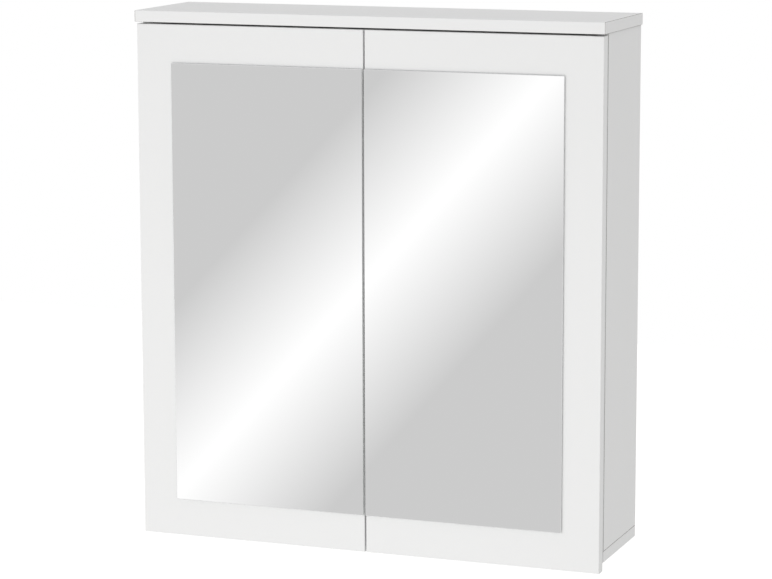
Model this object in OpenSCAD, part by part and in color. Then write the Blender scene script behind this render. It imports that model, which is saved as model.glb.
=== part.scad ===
// Wall-hung bathroom cabinet with two mirror doors on concealed hinges.
// Millimetres. X runs to the right, Y to the wall and Z up. The origin lies in the wall plane, halfway
// between the two keyholes that the cabinet hangs on.

/* [Carcass] */
// Width over the two side panels
body_w = 636; // [560:1:800]
// Height from the underside of the bottom panel to the upper face of the top panel
body_h = 690; // [640:1:800]
// Depth of the side panels, from the wall to their front edges
side_d = 146; // [140:1:200]
// Thickness of the carcass boards
board_t = 15; // [14:0.5:18]
// How far the top panel stands past each side panel
top_side_overhang = 2; // [0:0.5:10]
// How far the top panel stands past the door fronts
top_front_overhang = 2; // [0:0.5:10]
// Radius of the eased edges of the boards and doors
edge_r = 1; // [0.5:0.1:1.5]
// Thickness of the back panel
back_t = 3; // [2.5:0.5:5]
// Depth of the groove that holds the back panel
groove_depth = 6; // [4:0.5:8]
// Free play of the back panel in its groove, on each face and at each edge
groove_play = 0.15; // [0.1:0.05:0.3]

/* [Doors] */
// Thickness of the door panels
door_t = 16; // [15:0.5:19]
// Gap between the side panels' front edges and the closed doors
door_gap = 2.5; // [2.3:0.1:4]
// Gap between the two doors
centre_gap = 2; // [1.5:0.5:5]
// Gap between the doors and the top panel
door_top_gap = 2.5; // [2:0.5:5]
// How far the doors hang below the bottom panel, as a finger pull
door_drop = 10; // [6:1:20]
// Width of the white frame above, below and outside each mirror
frame_w = 50; // [30:1:80]
// Thickness of the mirror glass
mirror_t = 3; // [3:1:5]
// Step from the mirror's inner edge to the door's inner edge
mirror_setback = 0.5; // [0.3:0.1:3]
// Thickness of the mounting tape behind the mirror
tape_t = 1; // [0.8:0.2:2]
// Width of each strip of mounting tape
tape_w = 19; // [12:1:25]
// Distance from the mirror's upper and lower edges to the tape
tape_inset = 8; // [4:1:20]

/* [Shelves] */
// Clear height between the bottom panel and the lower shelf
lower_bay_h = 205; // [150:1:240]
// Clear height between the two shelves
middle_bay_h = 205; // [150:1:230]
// Distance from the side panels' front edges back to the shelves' front edges
shelf_setback = 5; // [4:1:20]
// Play between each shelf and what stands beside or behind it
shelf_play = 0.5; // [0.5:0.25:2]
// Distance between neighbouring shelf holes
shelf_hole_pitch = 32; // [25:1:32]
// Radius of the shelf pins
shelf_pin_r = 2.5; // [2:0.5:3]
// Depth of the shelf holes
shelf_hole_depth = 8; // [6:1:10]
// Number of shelf holes in each row
shelf_holes = 5; // [1:2:5]
// Distance from the back panel to the rear rows of shelf holes
rear_holes_inset = 25; // [15:1:40]

/* [Joinery] */
// Radius of the cam locks
cam_r = 7.5; // [7:0.5:8]
// Depth of a cam lock
cam_h = 12.2; // [11:0.1:12.5]
// Distance from a board's end to the middle of its cam lock
cam_inset = 34; // [24:1:40]
// Distance from the side panels' front edges to the front cam bolts
front_bolt_inset = 26; // [22:1:36]
// Distance from the wall to the rear cam bolts
rear_bolt_inset = 50; // [40:1:60]
// Radius of the dowels
dowel_r = 4; // [3:0.5:4]
// Length of the dowels
dowel_len = 30; // [25:1:35]
// How deep the dowels and cam bolts go into a board's face
face_hole_depth = 11; // [9:0.5:12]
// Clearance round dowels, pins and screws in their holes
peg_play = 0.05; // [0.02:0.01:0.1]

/* [Hanging] */
// Height of the hanging rail
rail_h = 70; // [60:1:90]
// Distance from each end of the hanging rail to its keyhole
keyhole_inset = 63; // [58:1:120]
// Radius of the keyhole's entry, which the wall screw's head passes
keyhole_r = 5; // [4.5:0.5:5.5]
// Width of the keyhole's slot, for the wall screw's shank
keyhole_slot_w = 5.4; // [4:0.2:6]
// How far up the slot the wall screw comes to rest
keyhole_rise = 12; // [10:1:14]
// Thickness of the keyhole plates
keyhole_plate_t = 1.5; // [1:0.25:2]
// Depth of the space behind a keyhole for the wall screw's head
keyhole_pocket_depth = 9; // [7:1:10]

/* [Hinges] */
// Distance from a door's upper and lower ends to its hinges
hinge_inset = 100; // [95:1:130]
// Radius of the hinge cups
cup_r = 17.5; // [17:0.25:17.5]
// Depth of the hinge cups
cup_depth = 11.5; // [11:0.25:12]
// Distance of the hinge cups' middles inward from the side panels' inner faces, with the doors closed
cup_offset = 6.5; // [6:0.25:7]
// Thickness of the cup's flange on the door
flange_t = 1.2; // [1:0.1:1.4]
// Distance from the side panels' front edges to the hinge plates' screws
plate_setback = 37; // [37:1:40]
// Distance between the two screws of a hinge plate
plate_screw_spacing = 32; // [32:1:36]
// Thickness of the hinges' sheet steel
steel_t = 1.5; // [1.2:0.1:1.6]
// Half the width of an inner link
inner_link_half_w = 3.4; // [3:0.1:3.5]
// Side play between the links and between the outer links and the arm
link_play = 0.4; // [0.3:0.05:0.4]
// Half the width of the links' bars, seen from above
link_bar_r = 1.6; // [1.4:0.1:1.7]
// Radius of the links' eyes round their pins
link_eye_r = 2.2; // [2:0.1:2.3]
// Radius of the hinge pins
hinge_pin_r = 1.2; // [1:0.05:1.25]
// Clearance round the hinge pins
hinge_pin_play = 0.05; // [0.02:0.01:0.08]

/* [Hidden] */

// Carcass planes, seen from the origin between the keyholes
top_z = board_t + rail_h / 2;
bottom_z = top_z - body_h;
inner_top_z = top_z - board_t;
inner_bottom_z = bottom_z + board_t;
half_w = body_w / 2;
inner_half_w = half_w - board_t;
side_mid_x = half_w - board_t / 2;
side_front_y = -side_d;

// Back panel, just in front of the hanging rail
back_rear_y = -board_t - groove_play;
back_front_y = back_rear_y - back_t;

// Doors
door_back_y = side_front_y - door_gap;
door_front_y = door_back_y - door_t;
door_top_z = inner_top_z - door_top_gap;
door_bottom_z = bottom_z - door_drop;
door_h = door_top_z - door_bottom_z;
door_w = (body_w - centre_gap) / 2;
mirror_w = door_w - frame_w - mirror_setback;
mirror_h = door_h - 2 * frame_w;
mirror_bottom_z = door_bottom_z + frame_w;

// Shelves and their holes
shelf_front_y = side_front_y + shelf_setback;
shelf_rear_y = back_front_y - shelf_play;
shelf_half_w = inner_half_w - shelf_play;
lower_shelf_z = inner_bottom_z + lower_bay_h;
upper_shelf_z = lower_shelf_z + board_t + middle_bay_h;
front_holes_y = side_front_y + plate_setback;
rear_holes_y = back_front_y - rear_holes_inset;

// Joints between the boards
dowel_end_play = 0.25;
board_ends_y = [side_front_y + front_bolt_inset, -rear_bolt_inset];
dowel_y = (board_ends_y[0] + board_ends_y[1]) / 2;
rail_mid_y = -board_t / 2;
rail_bolt_z = rail_h / 4;
rail_dowel_z = -rail_h / 4;
bolt_thread_r = 2.5;
bolt_bore_r = 4;
bolt_head_r = 3.2;

// Keyhole plates
keyhole_x = inner_half_w - keyhole_inset;
keyhole_plate_w = 28;
keyhole_screw_offset = 9;
keyhole_screws_z = [-keyhole_r - keyhole_screw_offset, keyhole_rise + keyhole_screw_offset];
keyhole_screw_r = 1.75;
keyhole_screw_len = 13;

// Pivots and bends of the hinge links with the door closed: distance inward from the side panel's inner face,
// then distance toward the wall from the door's back
arm_outer_pin = [10.8, 16.65];
arm_inner_pin = [18.7, 2.75];
cup_outer_pin = [-6.9, -2.15];
cup_inner_pin = [-2, -3.2];
outer_bend = [-0.75, -6.9];
inner_bend = [12.9, -3.3];

// Hinges
lower_level = door_bottom_z + hinge_inset;
upper_level = door_top_z - hinge_inset;
hinge_levels = [lower_level, upper_level];
cup_wall = 0.7;
cup_floor_t = 0.8;
cup_screw_offset = 6;
cup_screw_spacing = 48;
cup_screw_r = 1.75;
cup_screw_len = 12;
cup_screw_head_r = 3.2;
cup_screw_head_t = 1;
cup_screw_end_gap = 0.5;
cup_pin_end = 9.5;
outer_link_z = inner_link_half_w + link_play;
arm_inner_half = outer_link_z + steel_t + link_play;
arm_outer_half = arm_inner_half + steel_t;
cheek_z = arm_inner_half;
cheek_past_pin = 2.4;
cheek_reach = cup_r - cup_offset + cup_outer_pin[0] + cheek_past_pin;
arm_eye_r = 2.8;
arm_foot = 2.8;
arm_foot_past_pin = 7;
arm_web_low = 11;
arm_web_gap = 0.6;
arm_web_high = arm_inner_pin[0] + link_eye_r + arm_web_gap + steel_t;
arm_shoulder_before_pin = 2;
arm_shoulder_y = arm_outer_pin[1] - arm_shoulder_before_pin;
arm_waist_past_pin = 12;
arm_waist_y = arm_outer_pin[1] + arm_waist_past_pin;
arm_past_plate_screws = 28;
arm_rear_y = door_gap + plate_setback + arm_past_plate_screws;
arm_fixing_inset = 9;
arm_fixing_y = arm_rear_y - arm_fixing_inset;
arm_adjuster_offset = 4;
arm_adjuster_y = door_gap + plate_setback - arm_adjuster_offset;
arm_web_inner = arm_web_high - steel_t;
spring_t = 0.6;
spring_half_w = 3;
spring_bend_r = 1.95;
spring_bend_inset = 2.65;
spring_bend = [arm_web_inner - spring_bend_r, arm_shoulder_y - spring_bend_inset];
spring_front_y = arm_inner_pin[1] + 3;
spring_stud_r = 1.2;
spring_stud_past_web = 0.4;
spring_stud_y = spring_front_y + 3.2;
spring_tip_angle = 125;
spring_eye_gap = 0.3;
arm_screw_r = 2;
arm_screw_depth = 6;
arm_screw_head_r = 3.4;
arm_screw_head_t = 2;
plate_wing_t = 2;
plate_front_y = arm_waist_y;
plate_screw_r = 2;
plate_screw_depth = 11;
eps = 0.01;
$fn = 48;

// A bar with square ends from point a to point b, seen from above
module bar(a, b, half_width) {
    run = b - a;
    translate(a)
        rotate(atan2(run[1], run[0]))
            translate([0, -half_width])
                square([norm(run), 2 * half_width]);
}

// A box given by its lowest and highest corners
module block(low, high) {
    translate(low) cube(high - low);
}

// Rectangle from corner low to corner high, rounded at its two low-end corners or at all four
module eased_outline(low, high, both_ends) {
    back = both_ends ? edge_r : 0;
    translate([low[0] + edge_r, low[1]]) square([high[0] - low[0] - edge_r - back, high[1] - low[1]]);
    translate([low[0], low[1] + edge_r]) square([high[0] - low[0], high[1] - low[1] - 2 * edge_r]);
    for (x = both_ends ? [low[0] + edge_r, high[0] - edge_r] : [low[0] + edge_r]) {
        for (y = [low[1] + edge_r, high[1] - edge_r]) {
            translate([x, y]) circle(r = edge_r);
        }
    }
}

// A box whose edges along X are eased, at the front only or also behind
module eased_along_x(low, high, both_ends) {
    translate([low[0], 0, 0]) rotate([90, 0, 90])
        linear_extrude(high[0] - low[0]) eased_outline([low[1], low[2]], [high[1], high[2]], both_ends);
}

// A box whose four edges along Y are eased
module eased_along_y(low, high) {
    translate([0, high[1], 0]) rotate([90, 0, 0])
        linear_extrude(high[1] - low[1]) eased_outline([low[0], low[2]], [high[0], high[2]], true);
}

// A box whose edges along Z are eased, at the front only or also behind
module eased_along_z(low, high, both_ends) {
    translate([0, 0, low[2]]) linear_extrude(high[2] - low[2])
        mirror([1, -1]) eased_outline([low[1], low[0]], [high[1], high[0]], both_ends);
}

// A level board, its front and side edges eased and its rear edges sharp
module level_board(low, high) {
    past = [0, edge_r, 0];
    intersection() {
        eased_along_x(low, high, false);
        eased_along_y(low - past, high + past);
    }
}

// Draws a left-hand piece on the left (side = -1) or mirrored on the right (side = 1)
module on_side(side) {
    mirror([side > 0 ? 1 : 0, 0, 0]) children();
}

// A cylinder of length len from a point, along the X, Y or Z direction given by dir
module peg(at, dir, r, len) {
    turn = dir[0] != 0 ? [0, 90 * dir[0], 0]
        : dir[1] != 0 ? [-90 * dir[1], 0, 0]
        : [dir[2] < 0 ? 180 : 0, 0, 0];
    translate(at) rotate(turn) cylinder(h = len, r = r);
}

// Groove for the back panel, cut into a board whose inner face lies in the given plane
module back_groove(low, high) {
    block(
        [low[0], back_front_y - groove_play, low[1]],
        [high[0], back_rear_y + groove_play, high[1]]
    );
}

// Holes for the two cam bolts and the dowel in the face of the top or bottom panel
module face_holes(z, dir) {
    start_z = z - dir * eps;
    depth = face_hole_depth + eps;
    for (side = [-1, 1]) {
        for (y = board_ends_y) {
            peg([side * side_mid_x, y, start_z], [0, 0, dir], bolt_thread_r + peg_play, depth);
        }
        peg([side * side_mid_x, dowel_y, start_z], [0, 0, dir], dowel_r + peg_play, depth);
    }
}

module top_panel() {
    color("white")
    difference() {
        level_board(
            [-half_w - top_side_overhang, door_front_y - top_front_overhang, inner_top_z],
            [half_w + top_side_overhang, 0, top_z]
        );
        back_groove(
            [-inner_half_w - groove_depth, inner_top_z - eps],
            [inner_half_w + groove_depth, inner_top_z + groove_depth]
        );
        face_holes(inner_top_z, 1);
    }
}

module bottom_panel() {
    color("white")
    difference() {
        level_board([-half_w, side_front_y, bottom_z], [half_w, 0, inner_bottom_z]);
        back_groove(
            [-inner_half_w - groove_depth, inner_bottom_z - groove_depth],
            [inner_half_w + groove_depth, inner_bottom_z + eps]
        );
        face_holes(inner_bottom_z, -1);
    }
}

// Left side panel, with its groove, shelf holes, cam locks' bores and the holes of the hinge plates
module side_panel() {
    inner_x = -inner_half_w;
    mouth_x = inner_x + eps;
    low = [-half_w, side_front_y, inner_bottom_z];
    high = [inner_x, 0, inner_top_z];
    color("white")
    difference() {
        intersection() {
            eased_along_z(low - [0, 0, edge_r], high + [0, 0, edge_r], false);
            eased_along_y(low - [0, edge_r, 0], high + [0, edge_r, 0]);
        }
        back_groove([inner_x - groove_depth, inner_bottom_z - eps], [inner_x + eps, inner_top_z + eps]);
        for (end = [-1, 1]) {
            end_z = end > 0 ? inner_top_z : inner_bottom_z;
            for (y = board_ends_y) {
                peg([-side_mid_x, y, end_z + end * eps], [0, 0, -end], bolt_bore_r, cam_inset);
                peg([mouth_x, y, end_z - end * cam_inset], [-1, 0, 0], cam_r + peg_play, cam_h + eps);
            }
            peg(
                [-side_mid_x, dowel_y, end_z + end * eps], [0, 0, -end],
                dowel_r + peg_play, dowel_len - face_hole_depth + 2 * dowel_end_play
            );
        }
        for (shelf_z = [lower_shelf_z, upper_shelf_z]) {
            for (i = [0 : shelf_holes - 1]) {
                hole_z = shelf_z - shelf_pin_r + (i - (shelf_holes - 1) / 2) * shelf_hole_pitch;
                for (y = [front_holes_y, rear_holes_y]) {
                    peg([mouth_x, y, hole_z], [-1, 0, 0], shelf_pin_r + peg_play, shelf_hole_depth + eps);
                }
            }
        }
        for (level = hinge_levels) {
            for (end = [-1, 1]) {
                peg(
                    [mouth_x, front_holes_y, level + end * plate_screw_spacing / 2], [-1, 0, 0],
                    plate_screw_r + peg_play, plate_screw_depth + eps
                );
            }
        }
        peg([mouth_x, rail_mid_y, rail_bolt_z], [-1, 0, 0], bolt_thread_r + peg_play, face_hole_depth + eps);
        peg([mouth_x, rail_mid_y, rail_dowel_z], [-1, 0, 0], dowel_r + peg_play, face_hole_depth + eps);
    }
}

module back_panel() {
    reach = groove_depth - groove_play;
    color("white")
    block(
        [-inner_half_w - reach, back_front_y, inner_bottom_z - reach],
        [inner_half_w + reach, back_rear_y, inner_top_z + reach]
    );
}

// Rail between the side panels, against the wall, with a recess for each keyhole plate
module hanging_rail() {
    end_x = inner_half_w + eps;
    color("white")
    difference() {
        block([-inner_half_w, -board_t, -rail_h / 2], [inner_half_w, 0, rail_h / 2]);
        for (side = [-1, 1]) {
            translate([side * keyhole_x, 0, 0]) keyhole_recess();
            peg([side * end_x, rail_mid_y, rail_bolt_z], [-side, 0, 0], bolt_bore_r, cam_inset);
            peg(
                [side * (inner_half_w - cam_inset), eps, rail_bolt_z], [0, -1, 0],
                cam_r + peg_play, cam_h + eps
            );
            peg(
                [side * end_x, rail_mid_y, rail_dowel_z], [-side, 0, 0],
                dowel_r + peg_play, dowel_len - face_hole_depth + 2 * dowel_end_play
            );
        }
    }
}

// Space for a keyhole plate, its two screws and the wall screw's head, cut from the wall side
module keyhole_recess() {
    head_r = keyhole_r + 1.5;
    translate([0, eps, 0]) rotate([90, 0, 0]) {
        linear_extrude(keyhole_plate_t + peg_play + eps) keyhole_outline(peg_play);
        cylinder(h = keyhole_pocket_depth, r = head_r);
        translate([0, keyhole_rise, 0]) cylinder(h = keyhole_pocket_depth, r = head_r);
        translate([-head_r, 0, 0]) cube([2 * head_r, keyhole_rise, keyhole_pocket_depth]);
    }
    for (z = keyhole_screws_z) {
        peg([0, eps, z], [0, -1, 0], keyhole_screw_r + peg_play, keyhole_screw_len + peg_play + eps);
    }
}

// Rounded outline of a keyhole plate, wider all round by the given play
module keyhole_outline(play) {
    corner = 5;
    end_margin = 6;
    low = [-keyhole_plate_w / 2, keyhole_screws_z[0] - end_margin];
    high = [keyhole_plate_w / 2, keyhole_screws_z[1] + end_margin];
    translate([low[0] - play, low[1] + corner])
        square([high[0] - low[0] + 2 * play, high[1] - low[1] - 2 * corner]);
    translate([low[0] + corner, low[1] - play])
        square([high[0] - low[0] - 2 * corner, high[1] - low[1] + 2 * play]);
    for (x = [low[0] + corner, high[0] - corner]) {
        for (z = [low[1] + corner, high[1] - corner]) {
            translate([x, z]) circle(r = corner + play);
        }
    }
}

// Let-in steel plate whose keyhole drops over a wall screw
module keyhole_plate(side) {
    color("silver")
    translate([side * keyhole_x, 0, 0])
        difference() {
            rotate([90, 0, 0]) linear_extrude(keyhole_plate_t) difference() {
                keyhole_outline(0);
                circle(r = keyhole_r);
                translate([0, keyhole_rise]) circle(r = keyhole_slot_w / 2);
                translate([-keyhole_slot_w / 2, 0]) square([keyhole_slot_w, keyhole_rise]);
            }
            for (z = keyhole_screws_z) {
                translate([0, 0, z]) rotate([90, 0, 0])
                    cylinder(
                        h = keyhole_plate_t, r1 = keyhole_screw_r + keyhole_plate_t + peg_play,
                        r2 = keyhole_screw_r + peg_play
                    );
            }
        }
}

// Countersunk screws of the keyhole plates, with a cross recess in the head
module keyhole_plate_screws() {
    color("silver")
    for (side = [-1, 1]) {
        for (z = keyhole_screws_z) {
            translate([side * keyhole_x, 0, z]) rotate([90, 0, 0]) difference() {
                rotate_extrude() polygon([
                    [0, 0], [keyhole_screw_r + keyhole_plate_t - peg_play, 0],
                    [keyhole_screw_r, keyhole_plate_t], [keyhole_screw_r, keyhole_screw_len - 3],
                    [0, keyhole_screw_len]
                ]);
                cross_recess(keyhole_plate_t * 1.2, 0.8);
            }
        }
    }
}

// Cross recess of a screw, cut from z = 0 upwards
module cross_recess(reach, half_slot) {
    for (turn = [0, 90]) {
        rotate(turn) translate([-reach, -half_slot / 2, -eps]) cube([2 * reach, half_slot, reach + eps]);
    }
}

module shelf(underside_z) {
    color("white")
    eased_along_x(
        [-shelf_half_w, shelf_front_y, underside_z],
        [shelf_half_w, shelf_rear_y, underside_z + board_t],
        false
    );
}

// Pegs with a flat tongue, four under each shelf
module shelf_pins() {
    tongue_l = 9;
    tongue_w = 6;
    collar_t = 1;
    collar_r = shelf_pin_r + 1;
    sunk = shelf_hole_depth - 0.5;
    color("silver")
    for (side = [-1, 1]) {
        for (y = [front_holes_y, rear_holes_y]) {
            for (shelf_z = [lower_shelf_z, upper_shelf_z]) {
                on_side(side) translate([-inner_half_w, y, shelf_z - shelf_pin_r]) {
                    peg([-sunk, 0, 0], [1, 0, 0], shelf_pin_r, sunk + eps);
                    difference() {
                        peg([0, 0, 0], [1, 0, 0], collar_r, collar_t);
                        block([-eps, -collar_r, shelf_pin_r], [collar_t + eps, collar_r, collar_r + eps]);
                    }
                    block(
                        [collar_t - eps, -tongue_w / 2, 0.5],
                        [collar_t + tongue_l, tongue_w / 2, shelf_pin_r]
                    );
                }
            }
        }
    }
}

// Dowel with chamfered ends, its middle length inside the two boards, standing on z = 0
module dowel() {
    chamfer = 1;
    rotate_extrude() polygon([
        [0, 0], [dowel_r - chamfer, 0], [dowel_r, chamfer], [dowel_r, dowel_len - chamfer],
        [dowel_r - chamfer, dowel_len], [0, dowel_len]
    ]);
}

// Six dowels: one at each end of the side panels and one at each end of the rail
module dowels() {
    sunk = face_hole_depth - dowel_end_play;
    color("burlywood")
    for (side = [-1, 1]) {
        translate([side * side_mid_x, dowel_y, inner_top_z + sunk]) rotate([180, 0, 0]) dowel();
        translate([side * side_mid_x, dowel_y, inner_bottom_z - sunk]) dowel();
        translate([side * (inner_half_w + sunk), rail_mid_y, rail_dowel_z])
            rotate([0, -side * 90, 0]) dowel();
    }
}

// Places children at the side panels' cam bolts: z = 0 in the joint's plane, z pointing to the cam lock, and
// the cam lock's mouth toward -Y
module at_side_bolts() {
    for (side = [-1, 1]) {
        for (y = board_ends_y) {
            on_side(side) translate([-side_mid_x, y, inner_top_z]) rotate([180, 0, 0]) rotate(90) children();
            on_side(side) translate([-side_mid_x, y, inner_bottom_z]) rotate(90) children();
        }
    }
}

// Places children at the rail's cam bolts, the same way up
module at_rail_bolts() {
    for (side = [-1, 1]) {
        on_side(side) translate([-inner_half_w, rail_mid_y, rail_bolt_z])
            rotate([0, 90, 0]) rotate([0, 0, 180]) children();
    }
}

module at_cam_bolts() {
    at_side_bolts() children();
    at_rail_bolts() children();
}

// Cam bolts, screwed into the top panel, the bottom panel and the side panels
module cam_bolts() {
    tip = dowel_end_play - face_hole_depth;
    shank_r = bolt_bore_r - 0.6;
    neck_r = 2;
    neck_len = 10;
    neck_start = cam_inset - neck_len;
    color("silver")
    at_cam_bolts() rotate_extrude() polygon([
        [0, tip], [bolt_thread_r, tip + 1.5], [bolt_thread_r, 0], [shank_r, 0.2], [shank_r, neck_start - 1],
        [neck_r, neck_start], [neck_r, cam_inset - 2.5], [bolt_head_r, cam_inset - 1.5],
        [bolt_head_r, cam_inset + 1], [bolt_head_r - 0.8, cam_inset + 2], [0, cam_inset + 2]
    ]);
}

// Round locks that draw the cam bolts' heads in, with a cross recess for the screwdriver
module cam_locks() {
    neck_slot_r = 2.5;
    head_room_r = bolt_head_r + 0.6;
    head_room_before = 3.4;
    head_room_after = 3.1;
    color("silver")
    at_cam_bolts() difference() {
        translate([0, cam_h - board_t / 2, cam_inset]) rotate([90, 0, 0]) cylinder(h = cam_h, r = cam_r);
        translate([0, 0, cam_inset - cam_r - 1]) cylinder(h = cam_r - 2, r = neck_slot_r);
        translate([0, 0, cam_inset - head_room_before])
            cylinder(h = head_room_before + head_room_after, r = head_room_r);
        translate([0, -board_t / 2, cam_inset]) rotate([-90, 0, 0]) cross_recess(2.6, 1.4);
    }
}

// Thin covers over the cam locks inside the cabinet
module cam_caps() {
    cap_r = cam_r + 1;
    cap_t = 1;
    color("white")
    at_side_bolts() translate([0, -board_t / 2, cam_inset]) rotate([90, 0, 0]) rotate_extrude() polygon([
        [0, 0], [cap_r, 0], [cap_r, 0.4 * cap_t], [cap_r - 0.8, cap_t], [0, cap_t]
    ]);
}

// Left door panel with the bores of its hinge cups and the pilot holes of their screws
module door_panel() {
    low = [-half_w, door_front_y, door_bottom_z];
    high = [-half_w + door_w, door_back_y, door_top_z];
    color("white")
    difference() {
        intersection() {
            eased_along_x(low - [edge_r, 0, 0], high + [edge_r, 0, 0], true);
            eased_along_z(low - [0, 0, edge_r], high + [0, 0, edge_r], true);
        }
        for (level = hinge_levels) {
            at_hinge(level) {
                translate([cup_offset, eps, 0]) rotate([90, 0, 0])
                    cylinder(h = cup_depth + peg_play + eps, r = cup_r + peg_play);
                at_cup_screws() rotate([90, 0, 0]) cylinder(h = cup_screw_len, r = cup_screw_r + peg_play);
            }
        }
    }
}

// Left mirror: plain glass that reaches the door's inner edge
module mirror_glass() {
    color("lightsteelblue")
    block(
        [-half_w + frame_w, door_front_y - tape_t - mirror_t, mirror_bottom_z],
        [-half_w + frame_w + mirror_w, door_front_y - tape_t, mirror_bottom_z + mirror_h]
    );
}

// Upright strips of foam tape between the left door and its mirror
module mirror_tape() {
    strips = 4;
    low_x = -half_w + frame_w + tape_inset;
    step = (mirror_w - 2 * tape_inset - tape_w) / (strips - 1);
    color("white")
    for (i = [0 : strips - 1]) {
        block(
            [low_x + i * step, door_front_y - tape_t, mirror_bottom_z + tape_inset],
            [low_x + i * step + tape_w, door_front_y, mirror_bottom_z + mirror_h - tape_inset]
        );
    }
}

// Clear domed pad on the left door, just short of the bottom panel's front edge
module door_buffer() {
    buffer_r = 4;
    buffer_inset = 20;
    pad_t = door_gap - 0.3;
    color("gainsboro")
    translate([-half_w + door_w - buffer_inset, door_back_y, bottom_z + board_t / 2])
        rotate([-90, 0, 0])
            rotate_extrude() polygon([
                [0, 0], [buffer_r, 0], [buffer_r, pad_t / 2], [buffer_r - 1, pad_t], [0, pad_t]
            ]);
}

// Places children at a hinge of the left door. X runs inward from the side panel's inner face, Y to the wall
// from the closed door's back, Z from the hinge's middle.
module at_hinge(level) {
    translate([-inner_half_w, door_back_y, level]) children();
}

// Places children at the two screws of a hinge cup
module at_cup_screws() {
    for (end = [-1, 1]) {
        translate([cup_offset + cup_screw_offset, 0, end * cup_screw_spacing / 2]) children();
    }
}

// Places children at the two screws of a hinge plate, z = 0 on the side panel and z pointing inward
module at_plate_screws() {
    for (end = [-1, 1]) {
        translate([0, door_gap + plate_setback, end * plate_screw_spacing / 2]) rotate([0, 90, 0]) children();
    }
}

// Cross-shaped plate on the side panel, whose raised middle carries the hinge arm
module hinge_plate(level) {
    screw_y = door_gap + plate_setback;
    wing_half = plate_screw_spacing / 2;
    wing_r = 6;
    color("silver")
    at_hinge(level) difference() {
        union() {
            rotate([0, 90, 0]) linear_extrude(plate_wing_t) {
                translate([-wing_half, screw_y - wing_r]) square([2 * wing_half, 2 * wing_r]);
                for (end = [-1, 1]) {
                    translate([end * wing_half, screw_y]) circle(r = wing_r);
                }
            }
            linear_extrude(2 * (arm_inner_half - link_play), center = true) polygon([
                [0, plate_front_y], [arm_web_low - 3, plate_front_y], [arm_web_low, plate_front_y + 3],
                [arm_web_low, arm_rear_y - 1], [0, arm_rear_y - 1]
            ]);
        }
        at_plate_screws() {
            translate([0, 0, -eps]) cylinder(h = plate_wing_t + 2 * eps, r = plate_screw_r + peg_play);
            cylinder(
                h = plate_wing_t + eps, r1 = plate_screw_r + peg_play,
                r2 = plate_screw_r + plate_wing_t
            );
        }
        for (y = [arm_fixing_y, arm_adjuster_y]) {
            peg(
                [arm_web_low + eps, y, 0], [-1, 0, 0],
                arm_screw_r + peg_play, arm_screw_depth + peg_play + eps
            );
        }
    }
}

// Outline of the hinge arm's side walls, seen from above
module arm_outline() {
    polygon([
        [arm_foot, arm_rear_y], [arm_foot, arm_outer_pin[1] + arm_foot_past_pin],
        [arm_outer_pin[0] - arm_eye_r, arm_outer_pin[1]],
        [arm_inner_pin[0] - arm_eye_r, arm_inner_pin[1]], [arm_web_high, arm_inner_pin[1]],
        [arm_web_high, arm_shoulder_y], [arm_web_low + steel_t, arm_waist_y],
        [arm_web_low + steel_t, arm_rear_y]
    ]);
    translate(arm_outer_pin) circle(r = arm_eye_r);
    translate(arm_inner_pin) circle(r = arm_eye_r);
}

// Folded steel arm: two side walls under one web, open toward the side panel
module hinge_arm(level) {
    front_y = arm_inner_pin[1];
    color("silver")
    at_hinge(level) difference() {
        union() {
            for (end = [-1, 1]) {
                translate([0, 0, end * (arm_inner_half + steel_t / 2)])
                    linear_extrude(steel_t, center = true) arm_outline();
            }
            linear_extrude(2 * arm_inner_half + 2 * eps, center = true) polygon([
                [arm_web_high, front_y], [arm_web_high, arm_shoulder_y],
                [arm_web_low + steel_t, arm_waist_y], [arm_web_low + steel_t, arm_rear_y],
                [arm_web_low, arm_rear_y], [arm_web_low, arm_waist_y - 1],
                [arm_web_inner, arm_shoulder_y - 1], [arm_web_inner, front_y]
            ]);
        }
        peg(
            [arm_web_inner - eps, spring_stud_y, 0], [1, 0, 0],
            spring_stud_r + peg_play, steel_t + 2 * eps
        );
        for (pin = [arm_outer_pin, arm_inner_pin]) {
            translate([pin[0], pin[1], -arm_outer_half - eps])
                cylinder(h = 2 * arm_outer_half + 2 * eps, r = hinge_pin_r + hinge_pin_play);
        }
        for (y = [arm_fixing_y, arm_adjuster_y]) {
            peg([arm_web_low - eps, y, 0], [1, 0, 0], arm_screw_r + peg_play, steel_t + 2 * eps);
        }
    }
}

// Pins that the links turn on in the arm, riveted over outside its walls
module hinge_arm_pins() {
    head_t = 0.5;
    head_r = hinge_pin_r + 0.6;
    color("darkgray")
    for (side = [-1, 1]) {
        for (level = hinge_levels) {
            for (pin = [arm_outer_pin, arm_inner_pin]) {
                on_side(side) at_hinge(level) translate([pin[0], pin[1], 0]) {
                    cylinder(h = 2 * arm_outer_half, r = hinge_pin_r, center = true);
                    for (end = [-1, 1]) {
                        translate([0, 0, end * (arm_outer_half + head_t / 2)])
                            cylinder(h = head_t, r = head_r, center = true);
                    }
                }
            }
        }
    }
}

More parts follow.
